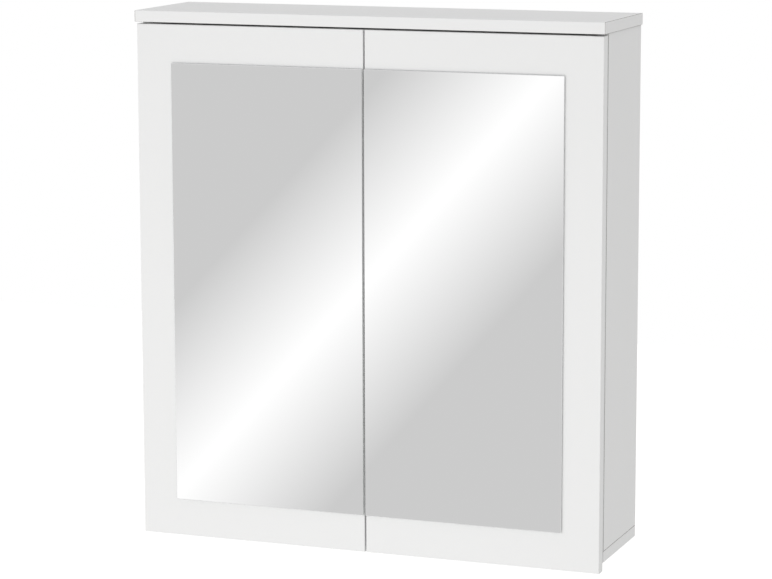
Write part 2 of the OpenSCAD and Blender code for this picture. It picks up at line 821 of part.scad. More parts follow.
// U-shaped closing springs of flat steel inside the arms: one leg held in the web by its stud, the other
// resting just off the inner link's eye
module hinge_springs() {
    leg_x = spring_bend[0] - spring_bend_r + spring_t / 2;
    tip_reach = link_eye_r + spring_eye_gap + spring_t / 2;
    tip = arm_inner_pin + tip_reach * [cos(spring_tip_angle), sin(spring_tip_angle)];
    color("slategray")
    for (side = [-1, 1]) {
        for (level = hinge_levels) {
            on_side(side) at_hinge(level) {
                linear_extrude(2 * spring_half_w, center = true) {
                    difference() {
                        translate(spring_bend) circle(r = spring_bend_r);
                        translate(spring_bend) circle(r = spring_bend_r - spring_t);
                        translate(spring_bend - [2 * spring_bend_r, 4 * spring_bend_r])
                            square(4 * spring_bend_r);
                    }
                    translate([arm_web_inner - spring_t, spring_front_y])
                        square([spring_t, spring_bend[1] - spring_front_y + eps]);
                    bar([leg_x, spring_bend[1]], tip, spring_t / 2);
                    translate([leg_x, spring_bend[1]]) circle(r = spring_t / 2);
                    translate(tip) circle(r = spring_t / 2);
                }
                peg(
                    [arm_web_inner - eps, spring_stud_y, 0], [1, 0, 0],
                    spring_stud_r, steel_t + spring_stud_past_web + eps
                );
            }
        }
    }
}

// Fixing screw and adjusting screw of each hinge arm
module hinge_arm_screws() {
    color("silver")
    for (side = [-1, 1]) {
        for (level = hinge_levels) {
            for (y = [arm_fixing_y, arm_adjuster_y]) {
                on_side(side) at_hinge(level) translate([arm_web_low + steel_t, y, 0]) rotate([0, 90, 0])
                    difference() {
                        union() {
                            translate([0, 0, -steel_t - arm_screw_depth])
                                cylinder(h = steel_t + arm_screw_depth + eps, r = arm_screw_r);
                            cylinder(h = arm_screw_head_t, r = arm_screw_head_r);
                        }
                        translate([0, 0, arm_screw_head_t]) mirror([0, 0, 1]) cross_recess(2.2, 1);
                    }
            }
        }
    }
}

// Countersunk screws of the hinge plates
module hinge_plate_screws() {
    head_r = plate_screw_r + plate_wing_t - peg_play;
    color("silver")
    for (side = [-1, 1]) {
        for (level = hinge_levels) {
            on_side(side) at_hinge(level) at_plate_screws() difference() {
                rotate_extrude() polygon([
                    [0, -plate_screw_depth], [plate_screw_r, 1 - plate_screw_depth], [plate_screw_r, 0],
                    [head_r, plate_wing_t], [0, plate_wing_t]
                ]);
                translate([0, 0, plate_wing_t]) mirror([0, 0, 1]) cross_recess(2.4, 1);
            }
        }
    }
}

// Hinge cup: a flange with two screw wings on the door, a bowl in its bore, and cheeks that hold the outer
// link's pins
module hinge_cup(level) {
    bowl_r = cup_r - cup_wall;
    pin_seat = cup_pin_end - cheek_z + hinge_pin_play;
    wing_half = cup_screw_spacing / 2;
    wing_r = 6.5;
    color("silver")
    at_hinge(level) translate([cup_offset, 0, 0]) rotate([-90, 0, 0]) difference() {
        union() {
            translate([0, 0, -cup_depth]) cylinder(h = cup_depth + eps, r = cup_r);
            linear_extrude(flange_t) {
                circle(r = cup_r + 1.5);
                translate([cup_screw_offset - wing_r, -wing_half]) square([2 * wing_r, 2 * wing_half]);
                for (end = [-1, 1]) {
                    translate([cup_screw_offset, end * wing_half]) circle(r = wing_r);
                }
            }
        }
        translate([0, 0, cup_floor_t - cup_depth]) linear_extrude(cup_depth + flange_t) difference() {
            circle(r = bowl_r);
            for (end = [-1, 1]) {
                translate([-cup_r, end > 0 ? cheek_z : -cheek_z - cup_r]) square([cheek_reach, cup_r]);
            }
        }
        for (end = [-1, 1]) {
            translate([cup_screw_offset, end * wing_half, -eps])
                cylinder(h = flange_t + 2 * eps, r = cup_screw_r + peg_play);
            translate([cup_outer_pin[0] - cup_offset, end * (cheek_z - eps), cup_outer_pin[1]])
                rotate([-90 * end, 0, 0])
                    cylinder(h = pin_seat + eps, r = hinge_pin_r + hinge_pin_play);
        }
    }
}

// Short pins that carry the outer link's two plates in the cheeks of the left door's cups
module cup_pins() {
    middle_z = (outer_link_z + cup_pin_end) / 2;
    color("darkgray")
    for (level = hinge_levels) {
        for (end = [-1, 1]) {
            at_hinge(level) translate([cup_outer_pin[0], cup_outer_pin[1], end * middle_z])
                cylinder(h = cup_pin_end - outer_link_z, r = hinge_pin_r, center = true);
        }
    }
}

// Screws of the left door's hinge cups
module cup_screws() {
    tip = cup_screw_end_gap - cup_screw_len;
    head_top = flange_t + cup_screw_head_t;
    color("silver")
    for (level = hinge_levels) {
        at_hinge(level) at_cup_screws() rotate([-90, 0, 0]) difference() {
            rotate_extrude() polygon([
                [0, tip], [cup_screw_r, tip + 1.5], [cup_screw_r, flange_t], [cup_screw_head_r, flange_t],
                [cup_screw_head_r - 0.6, head_top], [0, head_top]
            ]);
            translate([0, 0, head_top]) mirror([0, 0, 1]) cross_recess(1.8, 0.8);
        }
    }
}

// Bar with an eye at each end and a bend between them, seen from above
module link_outline(cup_pin, bend, arm_pin) {
    bar(cup_pin, bend, link_bar_r);
    bar(bend, arm_pin, link_bar_r);
    translate(bend) circle(r = link_bar_r);
    for (pin = [cup_pin, arm_pin]) {
        translate(pin) circle(r = link_eye_r);
    }
}

// Outer link: two cranked plates, joined behind the arm's pin to leave the inner link room between them
module outer_link(level) {
    bridge_r = 1.1;
    run = arm_outer_pin - outer_bend;
    tail = arm_outer_pin + run / norm(run) * (link_eye_r + link_bar_r);
    color("silver")
    at_hinge(level) difference() {
        union() {
            for (end = [-1, 1]) {
                translate([0, 0, end * (outer_link_z + steel_t / 2)]) linear_extrude(steel_t, center = true) {
                    link_outline(cup_outer_pin, outer_bend, arm_outer_pin);
                    bar(arm_outer_pin, tail, link_bar_r);
                    translate(tail) circle(r = link_bar_r);
                }
            }
            translate([tail[0], tail[1], 0])
                cylinder(h = 2 * outer_link_z + 2 * eps, r = bridge_r, center = true);
        }
        for (pin = [cup_outer_pin, arm_outer_pin]) {
            translate([pin[0], pin[1], -cheek_z]) cylinder(h = 2 * cheek_z, r = hinge_pin_r + hinge_pin_play);
        }
    }
}

// Inner link: one solid cranked bar between the outer link's plates
module inner_link(level) {
    color("dimgray")
    at_hinge(level) difference() {
        linear_extrude(2 * inner_link_half_w, center = true)
            link_outline(cup_inner_pin, inner_bend, arm_inner_pin);
        for (pin = [cup_inner_pin, arm_inner_pin]) {
            translate([pin[0], pin[1], -cheek_z]) cylinder(h = 2 * cheek_z, r = hinge_pin_r + hinge_pin_play);
        }
    }
}

// Pins at the cup end of the left door's inner links, free in the bowl
module inner_link_pins() {
    color("darkgray")
    for (level = hinge_levels) {
        at_hinge(level) translate([cup_inner_pin[0], cup_inner_pin[1], 0])
            cylinder(h = 2 * inner_link_half_w, r = hinge_pin_r, center = true);
    }
}

top_panel();
bottom_panel();
side_panel();  // left_side_panel
on_side(1) side_panel();  // right_side_panel
back_panel();
hanging_rail();
shelf(upper_shelf_z);  // upper_shelf
shelf(lower_shelf_z);  // lower_shelf
shelf_pins();
dowels();
cam_locks();
cam_bolts();
cam_caps();
keyhole_plate(-1);  // left_keyhole_plate
keyhole_plate(1);  // right_keyhole_plate
keyhole_plate_screws();
door_panel();  // left_door_panel
mirror_glass();  // left_mirror
mirror_tape();  // left_mirror_tape
door_buffer();  // left_door_buffer
on_side(1) door_panel();  // right_door_panel
on_side(1) mirror_glass();  // right_mirror
on_side(1) mirror_tape();  // right_mirror_tape
on_side(1) door_buffer();  // right_door_buffer
hinge_plate(upper_level);  // left_upper_hinge_plate
hinge_plate(lower_level);  // left_lower_hinge_plate
on_side(1) hinge_plate(upper_level);  // right_upper_hinge_plate
on_side(1) hinge_plate(lower_level);  // right_lower_hinge_plate
hinge_plate_screws();
hinge_arm(upper_level);  // left_upper_hinge_arm
hinge_arm(lower_level);  // left_lower_hinge_arm
on_side(1) hinge_arm(upper_level);  // right_upper_hinge_arm
on_side(1) hinge_arm(lower_level);  // right_lower_hinge_arm
hinge_arm_screws();
hinge_arm_pins();
hinge_springs();
hinge_cup(upper_level);  // left_upper_hinge_cup
hinge_cup(lower_level);  // left_lower_hinge_cup
cup_screws();  // left_cup_screws
cup_pins();  // left_cup_pins
on_side(1) hinge_cup(upper_level);  // right_upper_hinge_cup
on_side(1) hinge_cup(lower_level);  // right_lower_hinge_cup
on_side(1) cup_screws();  // right_cup_screws
on_side(1) cup_pins();  // right_cup_pins
outer_link(upper_level);  // left_upper_outer_link
outer_link(lower_level);  // left_lower_outer_link
on_side(1) outer_link(upper_level);  // right_upper_outer_link
on_side(1) outer_link(lower_level);  // right_lower_outer_link
inner_link(upper_level);  // left_upper_inner_link
inner_link(lower_level);  // left_lower_inner_link
inner_link_pins();  // left_inner_link_pins
on_side(1) inner_link(upper_level);  // right_upper_inner_link
on_side(1) inner_link(lower_level);  // right_lower_inner_link
on_side(1) inner_link_pins();  // right_inner_link_pins
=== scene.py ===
import math

import bpy
from mathutils import Matrix, Vector


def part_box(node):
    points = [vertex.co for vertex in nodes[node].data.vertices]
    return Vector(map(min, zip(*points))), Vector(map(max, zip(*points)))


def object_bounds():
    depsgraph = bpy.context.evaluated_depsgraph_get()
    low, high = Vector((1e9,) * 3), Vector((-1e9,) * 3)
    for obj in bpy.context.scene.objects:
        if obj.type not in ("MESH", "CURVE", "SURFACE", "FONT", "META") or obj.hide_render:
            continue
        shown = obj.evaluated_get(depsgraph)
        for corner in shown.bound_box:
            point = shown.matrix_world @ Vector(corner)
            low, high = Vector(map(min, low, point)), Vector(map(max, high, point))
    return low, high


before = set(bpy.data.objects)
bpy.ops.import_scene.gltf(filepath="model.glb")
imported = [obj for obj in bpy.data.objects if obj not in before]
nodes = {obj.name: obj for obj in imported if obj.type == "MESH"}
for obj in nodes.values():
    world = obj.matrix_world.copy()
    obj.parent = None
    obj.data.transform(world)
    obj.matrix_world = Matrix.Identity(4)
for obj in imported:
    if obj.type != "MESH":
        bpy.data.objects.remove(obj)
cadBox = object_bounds()
print("frame loaded:", len(nodes), "pieces")

mm = 0.001
imageWidth = 772  # the photograph's size in pixels
imageHeight = 579
sensorWidth = 36.0  # in the millimetres of Blender's lens lengths
sides = ("left", "right")


# Colours and node trees

def toLinear(hexColour):
    # sRGB hex to the linear values that the shaders want
    channels = []
    for i in (1, 3, 5):
        c = int(hexColour[i:i + 2], 16) / 255
        channels.append(c / 12.92 if c <= 0.04045 else ((c + 0.055) / 1.055) ** 2.4)
    return (*channels, 1.0)


def addNode(tree, kind, sockets=None, **settings):
    # sockets: input name or number to a value, or to the output that feeds it
    node = tree.nodes.new(kind)
    for name, value in settings.items():
        setattr(node, name, value)
    for name, value in (sockets or {}).items():
        if isinstance(value, bpy.types.NodeSocket):
            tree.links.new(value, node.inputs[name])
        else:
            node.inputs[name].default_value = value
    return node


def newMaterial(name):
    material = bpy.data.materials.new(name)
    material.use_nodes = True
    material.node_tree.nodes.clear()
    return material, material.node_tree


def dress(nodeNames, material, sockets):
    # ends the material with a surface that takes these values, and gives it to the pieces
    tree = material.node_tree
    surface = addNode(tree, "ShaderNodeBsdfPrincipled", sockets)
    addNode(tree, "ShaderNodeOutputMaterial", {"Surface": surface.outputs["BSDF"]})
    for name in nodeNames:
        nodes[name].data.materials.clear()
        nodes[name].data.materials.append(material)


# Camera: the photograph's view, a long lens from the right front and a little above

camera = {
    "place": Vector((1.3441, -3.6158, 0.3252)),
    "yaw": 0.3639,  # angles in radians
    "pitch": 0.1677,
    "roll": -0.0024,
    "focalPixels": 2916.6,  # focal length in the photograph's pixels
    "near": 0.05,
    "far": 60,
}


def makeCamera(c):
    level = Vector((math.cos(c["yaw"]), math.sin(c["yaw"]), 0))
    ahead = Vector((-math.sin(c["yaw"]), math.cos(c["yaw"]), 0))
    up = Vector((0, 0, 1))
    forward = ahead * math.cos(c["pitch"]) - up * math.sin(c["pitch"])
    upTilted = up * math.cos(c["pitch"]) + ahead * math.sin(c["pitch"])
    right = level * math.cos(c["roll"]) + upTilted * math.sin(c["roll"])
    top = upTilted * math.cos(c["roll"]) - level * math.sin(c["roll"])
    lens = bpy.data.cameras.new("photoCamera")
    lens.sensor_width = sensorWidth
    lens.lens = c["focalPixels"] / imageWidth * sensorWidth
    lens.clip_start = c["near"]
    lens.clip_end = c["far"]
    shooter = bpy.data.objects.new("photoCamera", lens)
    bpy.context.scene.collection.objects.link(shooter)
    turn = Matrix((right, top, -forward)).transposed()
    shooter.matrix_world = Matrix.Translation(c["place"]) @ turn.to_4x4()
    bpy.context.scene.camera = shooter
    return right, top, forward


viewRight, viewTop, viewForward = makeCamera(camera)
print("camera placed")


# Studio: an even white room, one large soft lamp low in front, and a pale floor well below the cabinet

studio = {
    "ambient": 0.64,  # light from all round
    "overhead": 0.13,  # how much stronger it is from straight above, and weaker from below
    "stripGrey": 0.656,  # what the mirrors see between the light strips
    "stripWhite": 1.118,  # what they see in the middle of a strip
    "stripLineX": (548, 170),  # the strip's middle line in the photograph, at two heights
    "stripLineY": (80, 500),
    "stripHalfWidth": 126,  # pixels, from its middle to the plain grey
    "stripPitch": 0.155,  # from one strip to the next, as the sine of the angle
    "keyPlace": Vector((-0.43, -3.0, -0.7)),
    "keySize": 1.8,
    "keyPower": 23.8,  # watts
    "floorBelow": 1.1,  # metres under the cabinet
    "floorSize": 14,
    "floorColour": "#F2F2F0",
    "floorGlow": 0.45,  # added white, seen by the camera only
}


def mirroredRay(x, y):
    # direction in which a ray through that pixel leaves a mirror that faces -Y
    ahead = viewForward * camera["focalPixels"]
    ray = ahead + viewRight * (x - imageWidth / 2) - viewTop * (y - imageHeight / 2)
    return Vector((ray.x, -ray.y, ray.z)).normalized()


def makeWorld(s):
    world = bpy.data.worlds.new("whiteStudio")
    bpy.context.scene.world = world
    world.use_nodes = True
    tree = world.node_tree
    tree.nodes.clear()
    ends = [mirroredRay(x, y) for x, y in zip(s["stripLineX"], s["stripLineY"])]
    across = ends[0].cross(ends[1]).normalized()
    halfWidth = s["stripHalfWidth"] / camera["focalPixels"]

    # diagonal light strips: bright in the middle, falling off evenly to grey on both sides
    direction = addNode(tree, "ShaderNodeTexCoord")
    offset = addNode(tree, "ShaderNodeVectorMath", {0: direction.outputs["Generated"], 1: across},
                     operation="DOT_PRODUCT")
    fold = addNode(tree, "ShaderNodeMath", {0: offset.outputs["Value"], 1: s["stripPitch"] / 2},
                   operation="PINGPONG")
    strip = addNode(tree, "ShaderNodeMapRange", {
        "Value": fold.outputs[0], "From Min": 0.0, "From Max": halfWidth,
        "To Min": s["stripWhite"], "To Max": s["stripGrey"],
    })

    axes = addNode(tree, "ShaderNodeSeparateXYZ", {0: direction.outputs["Generated"]})
    room = addNode(tree, "ShaderNodeMath", {0: axes.outputs["Z"], 1: s["overhead"], 2: s["ambient"]},
                   operation="MULTIPLY_ADD")

    # plain white behind the cabinet, the strips in every reflection, and the room's light on all the rest
    rays = addNode(tree, "ShaderNodeLightPath")
    seen = addNode(tree, "ShaderNodeMath", {
        0: rays.outputs["Is Camera Ray"], 1: rays.outputs["Is Transmission Ray"],
    }, operation="MAXIMUM")
    lit = addNode(tree, "ShaderNodeMix", {
        "Factor": rays.outputs["Is Glossy Ray"], "A": room.outputs[0], "B": strip.outputs["Result"],
    })
    strength = addNode(tree, "ShaderNodeMix", {
        "Factor": seen.outputs[0], "A": lit.outputs["Result"], "B": 1.0,
    })
    sky = addNode(tree, "ShaderNodeBackground", {
        "Color": (1, 1, 1, 1), "Strength": strength.outputs["Result"],
    })
    addNode(tree, "ShaderNodeOutputWorld", {"Surface": sky.outputs[0]})


def makeKeyLamp(s, target):
    lamp = bpy.data.lights.new("softKey", "AREA")
    lamp.shape = "SQUARE"
    lamp.size = s["keySize"]
    lamp.energy = s["keyPower"]
    holder = bpy.data.objects.new("softKey", lamp)
    bpy.context.scene.collection.objects.link(holder)
    holder.location = s["keyPlace"]
    holder.rotation_euler = (target - s["keyPlace"]).to_track_quat("-Z", "Y").to_euler()
    holder.visible_camera = False
    holder.visible_glossy = False


def makeFloor(s, lowest):
    half = s["floorSize"] / 2
    z = lowest - s["floorBelow"]
    mesh = bpy.data.meshes.new("studioFloor")
    corners = [(-half, -half, z), (half, -half, z), (half, half, z), (-half, half, z)]
    mesh.from_pydata(corners, [], [(0, 1, 2, 3)])
    floor = bpy.data.objects.new("studioFloor", mesh)
    bpy.context.scene.collection.objects.link(floor)
    floor.visible_glossy = False  # the mirrors see the light strips instead

    # even pale paint, lifted for the camera, and clear from below so that the cabinet's underside shows
    material, tree = newMaterial("matt white floor paint")
    matt = addNode(tree, "ShaderNodeBsdfDiffuse", {"Color": toLinear(s["floorColour"])})
    rays = addNode(tree, "ShaderNodeLightPath")
    glow = addNode(tree, "ShaderNodeMath", {0: rays.outputs["Is Camera Ray"], 1: s["floorGlow"]},
                   operation="MULTIPLY")
    bright = addNode(tree, "ShaderNodeEmission", {"Strength": glow.outputs[0]})
    both = addNode(tree, "ShaderNodeAddShader", {0: matt.outputs[0], 1: bright.outputs[0]})
    under = addNode(tree, "ShaderNodeNewGeometry").outputs["Backfacing"]
    clear = addNode(tree, "ShaderNodeBsdfTransparent")
    oneSided = addNode(tree, "ShaderNodeMixShader", {0: under, 1: both.outputs[0], 2: clear.outputs[0]})
    addNode(tree, "ShaderNodeOutputMaterial", {"Surface": oneSided.outputs[0]})
    mesh.materials.append(material)


middle = (cadBox[0] + cadBox[1]) / 2
makeWorld(studio)
makeKeyLamp(studio, middle)
makeFloor(studio, cadBox[0].z)
bpy.context.scene.view_settings.view_transform = "Standard"
print("studio lit")


# Boards: white melamine on chipboard, and white lacquer on fibreboard

melamine = {
    "white": "#F3F3F3",
    "coreDark": "#96795A",
    "coreMid": "#BEA27C",
    "coreLight": "#D9C5A2",
    "skin": 0.35 * mm,  # thickness of the pressed paper that the shader draws over the chipboard
    "band": 0.45 * mm,  # thickness of the edge bands, whose trimmed edges show as a thin line at the corner
    "glue": "#5F5B54",
    "glueLine": 0.4 * mm,  # between band and board, really about 0.1 mm, drawn wider so that it shows
    "joint": "#1E1D1C",  # colour of the painted shadow under the top panel, where the side panels meet it
    "paintedJointShadow": 0.6 * mm,  # how far the painted shadow reaches to either side
    "paintedShadowStrength": 0.55,  # strength of the painted shadow, up to 1
    "chip": 4 * mm,  # length of the wood chips
    "chipFlatness": 3.0,  # they lie flat in the board, this much thinner than long
    "chipRelief": 6.0,  # height of the chips against the pearl texture
    "pearlGrain": 1.6 * mm,  # the real pearl texture is about 0.6 mm, drawn coarser so that it shows
    "relief": 0.25,
    "reliefDepth": 0.04 * mm,
    "roughness": 0.42,
    "sheen": 0.05,  # how far the texture moves the roughness, either way
    "rawRoughness": 0.9,
    "ior": 1.5,
}

lacquer = {
    "white": "#F2F2F2",
    "core": "#A98D66",
    "coreDark": "#8F734F",
    "skin": 0.35 * mm,
    "fibre": 0.9 * mm,  # the board's fibres, really finer, drawn coarser so that they show
    "orangePeel": 4 * mm,  # from one soft wave of the lacquer to the next
    "relief": 0.15,
    "reliefDepth": 0.05 * mm,
    "roughness": 0.3,
    "sheen": 0.03,
    "rawRoughness": 0.9,
    "ior": 1.5,
}

hardboard = {
    "white": "#EFEFED",
    "raw": "#8C6A45",
    "rawDark": "#735433",
    "lacquer": 0.4 * mm,  # depth of the white face that the shader draws
    "fibre": 1.4 * mm,  # drawn coarser too
    "screen": 2.2 * mm,  # the press screen's mark on the raw face, really about 1 mm, drawn coarser
    "relief": 0.3,
    "reliefDepth": 0.06 * mm,
    "roughness": 0.5,
    "rawRoughness": 0.85,
    "ior": 1.5,
}


allFaces = ("-x", "+x", "-y", "+y", "-z", "+z")
margin = 1 * mm  # how far a mask's box stands out past the faces that it leaves alone


def coreMask(tree, place, low, high):
    # 1 between the two corners, 0 outside them
    above = addNode(tree, "ShaderNodeVectorMath", {0: place, 1: low}, operation="SUBTRACT")
    below = addNode(tree, "ShaderNodeVectorMath", {0: high, 1: place}, operation="SUBTRACT")
    depth = addNode(tree, "ShaderNodeVectorMath", {0: above.outputs[0], 1: below.outputs[0]},
                    operation="MINIMUM")
    axes = addNode(tree, "ShaderNodeSeparateXYZ", {0: depth.outputs[0]})
    leastXY = addNode(tree, "ShaderNodeMath", {0: axes.outputs["X"], 1: axes.outputs["Y"]},
                      operation="MINIMUM")
    least = addNode(tree, "ShaderNodeMath", {0: leastXY.outputs[0], 1: axes.outputs["Z"]},
                    operation="MINIMUM")
    inside = addNode(tree, "ShaderNodeMath", {0: least.outputs[0], 1: 0.0}, operation="GREATER_THAN")
    return inside.outputs[0]


def insetBox(node, faces, depth):
    # the board's box, drawn in by a depth at the faces named, and standing out a little at the rest
    low, high = (corner.copy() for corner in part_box(node))
    for axis, letter in enumerate("xyz"):
        low[axis] += depth if "-" + letter in faces else -margin
        high[axis] -= depth if "+" + letter in faces else -margin
    return low, high


def bandLine(tree, place, node, banded):
    # 1 in the thin glue line between the board and its edge bands
    half = melamine["glueLine"] / 2
    outer = coreMask(tree, place, *insetBox(node, banded, melamine["band"] - half))
    inner = coreMask(tree, place, *insetBox(node, banded, melamine["band"] + half))
    return addNode(tree, "ShaderNodeMath", {0: outer, 1: inner}, operation="SUBTRACT").outputs[0]


def paintedJointShadow(tree, place):
    # painted shadow where the side panels meet the top panel, darkening the colour there; the glue line's
    # dark colour shows where they meet the bottom panel
    low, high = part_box("right_side_panel")
    axes = addNode(tree, "ShaderNodeSeparateXYZ", {0: place})
    offset = addNode(tree, "ShaderNodeMath", {0: axes.outputs["Z"], 1: high.z}, operation="SUBTRACT")
    distance = addNode(tree, "ShaderNodeMath", {0: offset.outputs[0]}, operation="ABSOLUTE")
    # strength of the painted shadow: strongest at the seam, fading out to either side
    line = addNode(tree, "ShaderNodeMapRange", {
        "Value": distance.outputs[0], "From Min": melamine["paintedJointShadow"], "From Max": 0.0,
        "To Max": melamine["paintedShadowStrength"],
    })
    across = addNode(tree, "ShaderNodeMath", {0: axes.outputs["X"]}, operation="ABSOLUTE")
    inSide = addNode(tree, "ShaderNodeMath", {0: across.outputs[0], 1: low.x + melamine["band"]},
                     operation="GREATER_THAN")
    return addNode(tree, "ShaderNodeMath", {0: line.outputs["Result"], 1: inSide.outputs[0]},
                   operation="MULTIPLY").outputs[0]


def melamineBoard(node, banded, raw):
    # melamine-faced chipboard, pressed with a fine pearl texture: an even, quiet white that never mirrors
    m = melamine
    material, tree = newMaterial("white melamine on chipboard, " + node.replace("_", " "))
    place = addNode(tree, "ShaderNodeTexCoord").outputs["Object"]
    faced = [face for face in allFaces if face not in raw + banded]
    inBands = coreMask(tree, place, *insetBox(node, banded, m["band"]))
    inPaper = coreMask(tree, place, *insetBox(node, faced, m["skin"]))
    core = addNode(tree, "ShaderNodeMath", {0: inBands, 1: inPaper}, operation="MULTIPLY").outputs[0]

    # the chips lie flat in the board, so they are squashed along its thinnest direction
    low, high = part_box(node)
    size = list(high - low)
    squash = [1.0, 1.0, 1.0]
    squash[size.index(min(size))] = m["chipFlatness"]
    laid = addNode(tree, "ShaderNodeVectorMath", {0: place, 1: squash}, operation="MULTIPLY")
    chips = addNode(tree, "ShaderNodeTexVoronoi", {
        "Vector": laid.outputs[0], "Scale": 1 / m["chip"], "Detail": 1.0,
    })
    chipTone = addNode(tree, "ShaderNodeSeparateXYZ", {0: chips.outputs["Color"]})
    wood = addNode(tree, "ShaderNodeValToRGB", {"Fac": chipTone.outputs["X"]})
    wood.color_ramp.elements[0].color = toLinear(m["coreDark"])
    wood.color_ramp.elements[1].color = toLinear(m["coreLight"])
    wood.color_ramp.elements.new(0.5).color = toLinear(m["coreMid"])

    faces = addNode(tree, "ShaderNodeMix", {
        "Factor": core, "A": toLinear(m["white"]), "B": wood.outputs["Color"],
    }, data_type="RGBA")
    glued = addNode(tree, "ShaderNodeMix", {
        "Factor": bandLine(tree, place, node, banded),
        "A": faces.outputs["Result"], "B": toLinear(m["glue"]),
    }, data_type="RGBA")
    # painted shadow under the top panel, mixed into the board's colour
    colour = addNode(tree, "ShaderNodeMix", {
        "Factor": paintedJointShadow(tree, place), "A": glued.outputs["Result"], "B": toLinear(m["joint"]),
    }, data_type="RGBA")

    grain = addNode(tree, "ShaderNodeTexNoise", {
        "Vector": place, "Scale": 1 / m["pearlGrain"], "Detail": 2.0,
    })
    sheen = addNode(tree, "ShaderNodeMapRange", {
        "Value": grain.outputs["Fac"],
        "To Min": m["roughness"] - m["sheen"], "To Max": m["roughness"] + m["sheen"],
    })
    roughness = addNode(tree, "ShaderNodeMix", {
        "Factor": core, "A": sheen.outputs["Result"], "B": m["rawRoughness"],
    })
    rough = addNode(tree, "ShaderNodeMath", {0: core, 1: chipTone.outputs["X"]}, operation="MULTIPLY")
    height = addNode(tree, "ShaderNodeMath", {
        0: rough.outputs[0], 1: m["chipRelief"], 2: grain.outputs["Fac"],
    }, operation="MULTIPLY_ADD")
    bump = addNode(tree, "ShaderNodeBump", {
        "Strength": m["relief"], "Distance": m["reliefDepth"], "Height": height.outputs[0],
    })
    dress([node], material, {
        "Base Color": colour.outputs["Result"],
        "Roughness": roughness.outputs["Result"],
        "IOR": m["ior"],
        "Normal": bump.outputs["Normal"],
    })


def lacqueredDoor(node):
    # medium-density fibreboard, sprayed and rubbed smooth: a satin white with a trace of orange peel
    m = lacquer
    material, tree = newMaterial("white satin lacquer on fibreboard, " + node.replace("_", " "))
    place = addNode(tree, "ShaderNodeTexCoord").outputs["Object"]
    core = coreMask(tree, place, *insetBox(node, allFaces, m["skin"]))
    fibre = addNode(tree, "ShaderNodeTexNoise", {"Vector": place, "Scale": 1 / m["fibre"], "Detail": 4.0})
    wood = addNode(tree, "ShaderNodeMix", {
        "Factor": fibre.outputs["Fac"], "A": toLinear(m["coreDark"]), "B": toLinear(m["core"]),
    }, data_type="RGBA")
    colour = addNode(tree, "ShaderNodeMix", {
        "Factor": core, "A": toLinear(m["white"]), "B": wood.outputs["Result"],
    }, data_type="RGBA")
    peel = addNode(tree, "ShaderNodeTexNoise", {
        "Vector": place, "Scale": 1 / m["orangePeel"], "Detail": 1.0,
    })
    sheen = addNode(tree, "ShaderNodeMapRange", {
        "Value": peel.outputs["Fac"],
        "To Min": m["roughness"] - m["sheen"], "To Max": m["roughness"] + m["sheen"],
    })
    roughness = addNode(tree, "ShaderNodeMix", {
        "Factor": core, "A": sheen.outputs["Result"], "B": m["rawRoughness"],
    })
    bump = addNode(tree, "ShaderNodeBump", {
        "Strength": m["relief"], "Distance": m["reliefDepth"], "Height": peel.outputs["Fac"],
    })
    dress([node], material, {
        "Base Color": colour.outputs["Result"],
        "Roughness": roughness.outputs["Result"],
        "IOR": m["ior"],
        "Normal": bump.outputs["Normal"],
    })


def facedHardboard(node):
    # thin hardboard: white lacquer inside the cabinet, and raw brown with the press screen's print behind
    m = hardboard
    material, tree = newMaterial("white-faced hardboard, raw behind")
    place = addNode(tree, "ShaderNodeTexCoord").outputs["Object"]
    core = coreMask(tree, place, *insetBox(node, ("-y",), m["lacquer"]))
    fibre = addNode(tree, "ShaderNodeTexNoise", {"Vector": place, "Scale": 1 / m["fibre"], "Detail": 5.0})
    wood = addNode(tree, "ShaderNodeMix", {
        "Factor": fibre.outputs["Fac"], "A": toLinear(m["rawDark"]), "B": toLinear(m["raw"]),
    }, data_type="RGBA")
    colour = addNode(tree, "ShaderNodeMix", {
        "Factor": core, "A": toLinear(m["white"]), "B": wood.outputs["Result"],
    }, data_type="RGBA")
    axes = addNode(tree, "ShaderNodeSeparateXYZ", {0: place})
    waves = []
    for letter in "XZ":
        turns = addNode(tree, "ShaderNodeMath", {0: axes.outputs[letter], 1: math.tau / m["screen"]},
                        operation="MULTIPLY")
        waves.append(addNode(tree, "ShaderNodeMath", {0: turns.outputs[0]}, operation="SINE").outputs[0])
    mesh = addNode(tree, "ShaderNodeMath", {0: waves[0], 1: waves[1]}, operation="ADD")
    screen = addNode(tree, "ShaderNodeMath", {0: mesh.outputs[0], 1: core}, operation="MULTIPLY")
    bump = addNode(tree, "ShaderNodeBump", {
        "Strength": m["relief"], "Distance": m["reliefDepth"], "Height": screen.outputs[0],
    })
    roughness = addNode(tree, "ShaderNodeMix", {
        "Factor": core, "A": m["roughness"], "B": m["rawRoughness"],
    })
    dress([node], material, {
        "Base Color": colour.outputs["Result"],
        "Roughness": roughness.outputs["Result"],
        "IOR": m["ior"],
        "Normal": bump.outputs["Normal"],
    })


# each board's banded faces, then its raw ones
boards = {
    "top_panel": (("-x", "+x"), ("+y",)),
    "bottom_panel": (("-x", "+x", "-y"), ("+y",)),
    "left_side_panel": (("-y",), ("+y",)),
    "right_side_panel": (("-y",), ("+y",)),
    "hanging_rail": ((), ("-z",)),
    "upper_shelf": (("-y",), ("+y",)),
    "lower_shelf": (("-y",), ("+y",)),
}
for board, (banded, raw) in boards.items():
    melamineBoard(board, banded, raw)
for side in sides:
    lacqueredDoor(side + "_door_panel")
facedHardboard("back_panel")
print("boards finished")


# Mirrors: silvered float glass on foam tape

